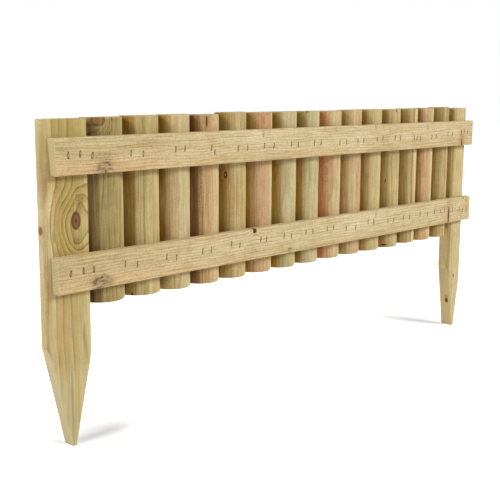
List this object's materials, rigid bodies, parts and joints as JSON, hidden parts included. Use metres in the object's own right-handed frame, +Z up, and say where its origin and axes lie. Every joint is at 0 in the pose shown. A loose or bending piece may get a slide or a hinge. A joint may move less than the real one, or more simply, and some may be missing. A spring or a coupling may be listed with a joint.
{
  "type": "half-round log border fence panel",
  "caption": "Low garden fence panel of upright half-round logs behind two front rails, with a pointed post at each end to drive into soil.",
  "frame": {"origin": "centre of the left post's blunt tip, on its flat end face", "axes": "+X along the panel to the right post, +Y from the rails to the backs of the logs, +Z up"},
  "size_m": [1.1009, 0.0496, 0.485],
  "materials": {
    "post_wood": "bare pressure-treated softwood, sawn and machined, matt",
    "rail_wood": "bare pressure-treated softwood, sawn and machined, matt",
    "log_wood": "bare pressure-treated softwood, sawn and machined, matt",
    "staple_wire": "galvanised wire, dulled"
  },
  "bodies": {
    "root": {"left_post": "post_wood", "right_post": "post_wood", "upper_rail": "rail_wood", "lower_rail": "rail_wood", "log_01": "log_wood", "log_02": "log_wood", "log_03": "log_wood", "log_04": "log_wood", "log_05": "log_wood", "log_06": "log_wood", "log_07": "log_wood", "log_08": "log_wood", "log_09": "log_wood", "log_10": "log_wood", "log_11": "log_wood", "log_12": "log_wood", "log_13": "log_wood", "log_14": "log_wood", "log_15": "log_wood"}
  },
  "joints": []
}
